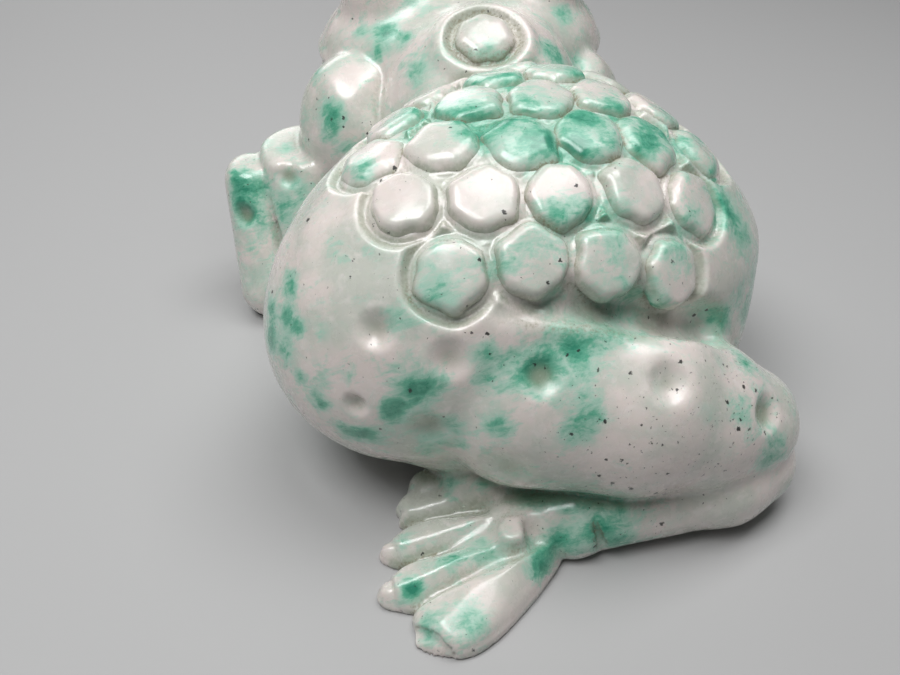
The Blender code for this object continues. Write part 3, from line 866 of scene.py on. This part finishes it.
def relaxed(points, quads, rounds=2, share=0.5):
    """Points moved within the surface towards the middle of their neighbours."""
    ends = np.concatenate([quads[:, [0, 1]], quads[:, [1, 2]], quads[:, [2, 3]], quads[:, [3, 0]]])
    for _ in range(rounds):
        total = np.zeros_like(points)
        count = np.zeros(len(points), F)
        for k in range(3):
            total[:, k] = np.bincount(ends[:, 0], points[ends[:, 1], k], len(points))
            total[:, k] += np.bincount(ends[:, 1], points[ends[:, 0], k], len(points))
        count += np.bincount(ends.ravel(), minlength=len(points))
        points = points + share * (total / count[:, None] - points)
    return points


def mesh_of(name, points, faces):
    mesh = bpy.data.meshes.new(name)
    mesh.from_pydata((points + SHIFT) * MM, [], faces.tolist())
    mesh.validate()
    mesh.update()
    return mesh


def points_of(mesh):
    flat = np.empty(len(mesh.vertices) * 3, F)
    mesh.vertices.foreach_get("co", flat)
    return (flat.reshape(-1, 3) / MM - SHIFT).astype(F)


def normals_of(mesh):
    flat = np.empty(len(mesh.vertices) * 3, F)
    mesh.vertex_normals.foreach_get("vector", flat)
    return flat.reshape(-1, 3)


def set_points(mesh, points):
    mesh.vertices.foreach_set("co", ((points + SHIFT) * MM).astype(F).ravel())
    mesh.update()


def solid_mesh(name, field, low, high, step, rounds=3):
    """The zero surface of a field as a mesh of even quads."""
    low = np.array(low, float)
    counts = [int(math.ceil((high[k] - low[k]) / step)) + 1 for k in range(3)]
    values = lattice_values(field, low, counts, step)
    points, quads = surface_nets(values, low, step)
    points = settled(field, points, 2)
    points = relaxed(points, quads)
    points = settled(field, points, rounds)
    return mesh_of(name, points, quads)


def refine(mesh, chosen):
    """Each face whose corners are all chosen becomes four, and its neighbours meet it without a gap."""
    made = bmesh.new()
    made.from_mesh(mesh)
    made.verts.ensure_lookup_table()
    faces = [f for f in made.faces if all(chosen[v.index] for v in f.verts)]
    edges = list({e for f in faces for e in f.edges})
    bmesh.ops.subdivide_edges(made, edges=edges, cuts=1, use_grid_fill=True)
    made.to_mesh(mesh)
    made.free()


def put_attribute(mesh, name, values):
    layer = mesh.attributes.new(name, "FLOAT", "POINT")
    layer.data.foreach_set("value", np.asarray(values, np.float32))


def piece(name, mesh, material, slot, *nodes):
    """A visible piece on the root body that stands for the named CAD nodes."""
    mesh.polygons.foreach_set("use_smooth", [True] * len(mesh.polygons))
    mesh.materials.append(material)
    made = bpy.data.objects.new(name, mesh)
    bpy.context.scene.collection.objects.link(made)
    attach(made, "root")
    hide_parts(*nodes)
    return made


NEAR, FAR, UNDER = F(1.2), F(3.5), F(1.0)  # how far off the surface the stone is felt for


def wear_and_shade_masks(mesh):
    """Where the stone is hollow, how deep in a crease it lies, where it is proud, how much vein and speck it
    shows, and how much painted shade its round hollows take; the crease and hollow-shade measures drive
    painted shade, the proud one pale edges that are partly painted highlight.
    """
    points, normals = points_of(mesh), normals_of(mesh)
    near = in_chunks(whole, points + normals * NEAR) / NEAR
    far = in_chunks(whole, points + normals * FAR) / FAR
    under = -in_chunks(whole, points - normals * UNDER) / UNDER
    put_attribute(mesh, "hollow", np.clip(1 - near, 0, 1))
    put_attribute(mesh, "crease", np.clip(1 - far, 0, 1))
    put_attribute(mesh, "proud", np.clip(1 - under, 0, 1))
    put_attribute(mesh, "vein", veins(points))
    put_attribute(mesh, "speck", specks(points))
    put_attribute(mesh, "dimple_shade", round_hollow_shade(points))


# ---------------------------------------------------------------- stone


class Nodes:
    """A material's node tree, built a node at a time."""

    def __init__(self, name):
        self.material = bpy.data.materials.new(name)
        self.material.use_nodes = True
        self.tree = self.material.node_tree
        self.tree.nodes.clear()

    def add(self, kind, links=None, **settings):
        node = self.tree.nodes.new("ShaderNode" + kind)
        for key, value in settings.items():
            setattr(node, key, value)
        for key, value in (links or {}).items():
            self.feed(node.inputs[key], value)
        return node

    def feed(self, socket, value):
        if isinstance(value, bpy.types.NodeSocket):
            self.tree.links.new(value, socket)
        else:
            socket.default_value = value

    def math(self, operation, a, b=0.0, c=0.0):
        node = self.add("Math", {0: a, 1: b, 2: c}, operation=operation)
        return node.outputs[0]

    def scaled(self, vector, factors):
        node = self.add("VectorMath", {0: vector, 1: factors}, operation="MULTIPLY")
        return node.outputs[0]

    def turned(self, vector, angles):
        node = self.add("Mapping", {"Vector": vector, "Rotation": angles})
        return node.outputs[0]

    def noise(self, vector, scale, detail=3.0, roughness=0.55, distortion=0.0):
        links = {"Vector": vector, "Scale": scale, "Detail": detail, "Roughness": roughness}
        links["Distortion"] = distortion
        return self.add("TexNoise", links).outputs["Fac"]

    def step(self, value, low, high, to_low=0.0, to_high=1.0):
        links = {"Value": value, "From Min": low, "From Max": high, "To Min": to_low, "To Max": to_high}
        return self.add("MapRange", links, interpolation_type="SMOOTHSTEP").outputs[0]

    def mix(self, factor, a, b):
        node = self.add("Mix", data_type="RGBA", blend_type="MIX")
        self.feed(node.inputs[0], factor)
        self.feed(node.inputs[6], a)
        self.feed(node.inputs[7], b)
        return node.outputs[2]

    def attribute(self, name):
        return self.add("Attribute", attribute_name=name).outputs["Fac"]


WHITE = (0.80, 0.722, 0.682, 1)
GREY_WHITE = (0.62, 0.64, 0.575, 1)
MILK = (0.86, 0.81, 0.78, 1)
MINT = (0.37, 0.66, 0.53, 1)
GREEN = (0.11, 0.45, 0.30, 1)
EMERALD = (0.030, 0.26, 0.165, 1)
# SHADE is painted shade, laid into the creases and the round hollows
SHADE = (0.33, 0.37, 0.28, 1)
DIRT = (0.27, 0.22, 0.13, 1)
BLACK = (0.010, 0.010, 0.010, 1)


def pushed_about(n, mm, scale, reach):
    """The place, moved about by noise, so that what is drawn there gets an uneven edge."""
    push = n.add("TexNoise", {"Vector": mm, "Scale": scale, "Detail": 3.0}).outputs["Color"]
    push = n.add("VectorMath", {0: push, 1: (0.5, 0.5, 0.5)}, operation="SUBTRACT").outputs[0]
    push = n.scaled(push, (reach, reach, reach))
    return n.add("VectorMath", {0: mm, 1: push}, operation="ADD").outputs[0]


def mottling(n, mm, vein):
    """White stone with clouds and haze, then mint, green and emerald where the green lies thick."""
    pushed = pushed_about(n, mm, 0.13, 11.0)
    grain_turn = (0.15, -0.5, 0.2)
    along = n.scaled(n.turned(pushed, grain_turn), (0.5, 1.0, 1.0))

    patch = n.noise(along, 0.10, 3.0, 0.55, 0.4)
    blotch = n.noise(along, 0.27, 5.0, 0.64, 0.3)
    fibre = n.noise(n.scaled(n.turned(mm, grain_turn), (0.14, 1.0, 1.0)), 1.3, 4.0, 0.7)
    island = n.noise(along, 0.62, 3.0, 0.6)
    level = n.math("MULTIPLY_ADD", patch, 0.34, -0.17)
    for layer, spread in ((blotch, 0.62), (fibre, 0.34), (island, 0.26)):
        level = n.math("ADD", level, n.math("MULTIPLY_ADD", layer, spread, -spread / 2))
    level = n.math("MULTIPLY_ADD", vein, 0.215, level)

    tone = n.noise(mm, 0.06, 4.0, 0.6)
    colour = n.mix(n.step(tone, 0.40, 0.60), WHITE, GREY_WHITE)
    clouds = n.noise(along, 0.5, 4.0, 0.6)
    colour = n.mix(n.step(clouds, 0.5, 0.75, 0, 0.5), colour, MILK)
    haze = n.math("MULTIPLY_ADD", vein, 0.25, n.noise(along, 0.16, 3.0, 0.6))
    colour = n.mix(n.step(haze, 0.50, 0.80, 0, 0.35), colour, MINT)
    colour = n.mix(n.step(level, 0.02, 0.19, 0, 0.70), colour, MINT)
    colour = n.mix(n.step(level, 0.14, 0.35, 0, 0.92), colour, GREEN)
    return n.mix(n.step(level, 0.30, 0.50, 0, 0.88), colour, EMERALD)


def soiled_and_shaded(n, mm, colour, hollow):
    """Creases and round hollows are painted a greenish-grey shade, the sharpest creases gather brown dirt and
    crystals; convex edges are painted pale, partly wear and partly painted highlight.
    """
    crease, proud, dimple_shade = n.attribute("crease"), n.attribute("proud"), n.attribute("dimple_shade")
    grain = n.noise(mm, 1.6, 5.0, 0.7)
    # painted shade: the deepest creases are darkened towards the greenish grey SHADE
    crease_shade = n.math("MULTIPLY", crease, n.step(grain, 0.3, 0.7, 0.6, 1.0))
    colour = n.mix(n.step(crease_shade, 0.10, 0.75, 0, 0.62), colour, SHADE)
    # painted shade: the round hollows are darkened towards SHADE
    colour = n.mix(n.step(dimple_shade, 0.06, 0.8, 0, 0.80), colour, SHADE)
    dirt = n.math("MULTIPLY", hollow, n.step(grain, 0.40, 0.66))
    colour = n.mix(n.step(dirt, 0.12, 0.62, 0, 0.62), colour, DIRT)
    crystals = n.add("TexVoronoi", {"Vector": mm, "Scale": 2.6, "Randomness": 1.0}).outputs["Distance"]
    crystals = n.math("MULTIPLY", n.step(crystals, 0.10, 0.24, 1, 0), n.step(hollow, 0.35, 0.7))
    colour = n.mix(n.math("MULTIPLY", crystals, 0.55), colour, MILK)
    # convex edges painted pale towards MILK: partly worn stone, partly painted highlight
    return n.mix(n.step(proud, 0.5, 1.0, 0, 0.30), colour, MILK)


def black_specks(n, mm, speck):
    """A few large specks and many tiny ones, each of a ragged outline."""
    ragged = pushed_about(n, mm, 2.2, 1.1)
    layers = []
    for scale, radius, many in ((0.36, 0.17, 0.80), (0.95, 0.17, 0.80)):
        cells = n.add("TexVoronoi", {"Vector": ragged, "Scale": scale, "Randomness": 1.0})
        drawn = n.add("SeparateColor", {0: cells.outputs["Color"]}).outputs
        chosen = n.math("LESS_THAN", drawn[0], n.math("MULTIPLY", speck, many))
        size = n.math("MULTIPLY_ADD", drawn[1], radius * 0.7, radius * 0.45)
        apart = n.math("DIVIDE", cells.outputs["Distance"], size)
        layers.append(n.math("MULTIPLY", n.step(apart, 0.75, 1.0, 1, 0), chosen))
    return n.math("MAXIMUM", *layers)


def polish(n, mm, hollow, dots):
    """Roughness: worn to a gloss outside, rough in the cuts and on the specks."""
    rough = n.step(n.noise(mm, 0.35, 4.0, 0.6), 0.3, 0.7, 0.21, 0.33)
    rough = n.math("MULTIPLY_ADD", n.step(hollow, 0.25, 0.9), 0.34, rough)
    return n.math("MULTIPLY_ADD", n.step(dots, 0.2, 0.8), 0.25, rough)


def fine_relief(n, mm, hollow):
    """Relief too small to carve: tool waves, scratches, and grains in the cuts."""
    waves = n.noise(mm, 0.28, 2.0, 0.5)
    fine = n.noise(mm, 3.0, 4.0, 0.7)
    scratches = n.noise(n.scaled(n.turned(mm, (0.2, 0.7, 1.1)), (1.0, 0.03, 1.0)), 6.0, 2.0, 0.5)
    height = n.math("MULTIPLY", waves, 0.05)
    cut_grain = n.math("MULTIPLY", fine, n.step(hollow, 0.20, 0.8, 0.0, 0.08))
    height = n.math("ADD", height, cut_grain)
    height = n.math("MULTIPLY_ADD", scratches, 0.0006, height)
    return n.add("Bump", {"Strength": 1.0, "Distance": 0.001, "Height": height}).outputs[0]


def jade(name):
    """Polished mottled jade, its mottling drawn out into fibres along one direction."""
    n = Nodes(name)
    mm = n.scaled(n.add("TexCoord").outputs["Object"], (1000.0, 1000.0, 1000.0))
    hollow = n.attribute("hollow")
    colour = soiled_and_shaded(n, mm, mottling(n, mm, n.attribute("vein")), hollow)
    dots = black_specks(n, mm, n.attribute("speck"))
    colour = n.mix(n.math("MULTIPLY", dots, 0.93), colour, BLACK)

    shader = n.add("BsdfPrincipled")
    shader.subsurface_method = "RANDOM_WALK"
    n.feed(shader.inputs["Base Color"], colour)
    n.feed(shader.inputs["Roughness"], polish(n, mm, hollow, dots))
    n.feed(shader.inputs["Normal"], fine_relief(n, mm, hollow))
    shader.inputs["IOR"].default_value = 1.62
    shader.inputs["Subsurface Weight"].default_value = 0.35
    shader.inputs["Subsurface Radius"].default_value = (1.0, 1.1, 0.9)
    shader.inputs["Subsurface Scale"].default_value = 0.0016
    shader.inputs["Coat Weight"].default_value = 0.30
    shader.inputs["Coat Roughness"].default_value = 0.13
    out = n.add("OutputMaterial")
    n.tree.links.new(shader.outputs[0], out.inputs["Surface"])
    return n.material


# ---------------------------------------------------------------- pieces

BODY_STEP = 1.05  # spacing of the skin's quads before its fine work is refined
BOSS_STEP, BEAD_STEP, EYE_STEP = 0.5, 0.45, 0.5
BOSS_REACH, BEAD_REACH, EYE_REACH = np.full(3, 9.0), 9.0, 10.0  # half the side of the meshed box
GROUND_SNAP = 0.05  # what lies this near to the ground lies on it
LOW = (-64.0, -90.5, -BODY_STEP / 2)
HIGH = (64.0, 86.0, 88.0)

body_stone = jade("jade_body")
boss_stone = jade("jade_boss")

skin = solid_mesh("toad_skin", plain, LOW, HIGH, BODY_STEP)
points = points_of(skin)
refine(skin, fine_work(points))
points = points_of(skin)
normals = normals_of(skin)
for _ in range(7):
    gap = np.clip(in_chunks(stone, points), -0.7, 0.7)
    points = points - normals * (gap * 0.85)[:, None]
points[:, 2] = np.where(points[:, 2] < GROUND_SNAP, 0, points[:, 2])
set_points(skin, points)
wear_and_shade_masks(skin)

standing_alone = {"back_boss_" + b["name"] for b in BOSSES} | {"nape_bead", "left_eye", "right_eye"}
carved_from_skin = sorted(set(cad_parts) - standing_alone)
piece("toad_skin", skin, body_stone, "body_jade", *carved_from_skin)

for b in BOSSES:
    name = "boss_" + b["name"]
    low, high = b["c"] - BOSS_REACH, b["c"] + BOSS_REACH
    mesh = solid_mesh(name, lambda p, b=b: boss_solid(b, p), low, high, BOSS_STEP)
    wear_and_shade_masks(mesh)
    piece(name, mesh, boss_stone, "boss_jade", "back_" + name)

mesh = solid_mesh("bead", bead, EMBLEM_AT - BEAD_REACH, EMBLEM_AT + BEAD_REACH, BEAD_STEP)
wear_and_shade_masks(mesh)
piece("neck_bead", mesh, body_stone, "nape_jade", "nape_bead")

for side, s in (("left", 1), ("right", -1)):
    name = side + "_eyeball"
    low, high = eye_centre(s) - EYE_REACH, eye_centre(s) + EYE_REACH
    mesh = solid_mesh(name, lambda p, s=s: eyeball(p, s), low, high, EYE_STEP)
    wear_and_shade_masks(mesh)
    piece(name, mesh, body_stone, "head_jade", side + "_eye")


# ---------------------------------------------------------------- studio


def plain_paint(name, colour, roughness):
    n = Nodes(name)
    shader = n.add("BsdfPrincipled")
    shader.inputs["Base Color"].default_value = colour
    shader.inputs["Roughness"].default_value = roughness
    out = n.add("OutputMaterial")
    n.tree.links.new(shader.outputs[0], out.inputs["Surface"])
    return n.material


floor_mesh = bpy.data.meshes.new("floor")
half, floor_z = 4.0, -0.0001
floor_mesh.from_pydata(
    [(-half, -half, floor_z), (half, -half, floor_z), (half, half, floor_z), (-half, half, floor_z)],
    [],
    [(0, 1, 2, 3)],
)
floor_mesh.materials.append(plain_paint("floor_paint", (0.45, 0.45, 0.45, 1), 0.7))
floor = bpy.data.objects.new("floor", floor_mesh)
bpy.context.scene.collection.objects.link(floor)
floor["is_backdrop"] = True


def softbox(name, place, aim, size, power):
    lamp = bpy.data.lights.new(name, "AREA")
    lamp.shape = "RECTANGLE"
    lamp.size, lamp.size_y = size
    lamp.energy = power
    holder = bpy.data.objects.new(name, lamp)
    holder.location = place
    holder.rotation_euler = (Vector(aim) - Vector(place)).to_track_quat("-Z", "Y").to_euler()
    bpy.context.scene.collection.objects.link(holder)


MIDDLE = (0.0, 0.0, 0.03)
softbox("key", (0.21, 0.11, 0.57), MIDDLE, (0.34, 0.26), 2.25)
softbox("top", (-0.14, -0.04, 0.60), MIDDLE, (0.30, 0.40), 1.85)
softbox("front_fill", (0.15, -0.60, 0.30), MIDDLE, (0.40, 0.30), 0.8)

world = bpy.data.worlds.new("studio")
world.use_nodes = True
sky = world.node_tree.nodes["Background"]
sky.inputs["Color"].default_value = (0.85, 0.87, 0.90, 1)
sky.inputs["Strength"].default_value = 0.07
bpy.context.scene.world = world
bpy.context.scene.view_settings.view_transform = "Standard"

# ---------------------------------------------------------------- camera

CAMERA_PLACE = (0.0423, 0.1657, 0.146)
CAMERA_AZIMUTH, CAMERA_PITCH = math.radians(169), math.radians(40)
CAMERA_LENS = 34.56

camera = bpy.data.cameras.new("camera")
camera.lens = CAMERA_LENS
camera.sensor_width = 36.0
camera.clip_start = 0.005
camera.clip_end = 20.0
holder = bpy.data.objects.new("camera", camera)
holder.location = CAMERA_PLACE
back = Vector(
    (
        math.sin(CAMERA_AZIMUTH) * math.cos(CAMERA_PITCH),
        -math.cos(CAMERA_AZIMUTH) * math.cos(CAMERA_PITCH),
        math.sin(CAMERA_PITCH),
    )
)
holder.rotation_mode = "QUATERNION"
holder.rotation_quaternion = (-back).to_track_quat("-Z", "Y")
bpy.context.scene.collection.objects.link(holder)
bpy.context.scene.camera = holder

low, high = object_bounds()
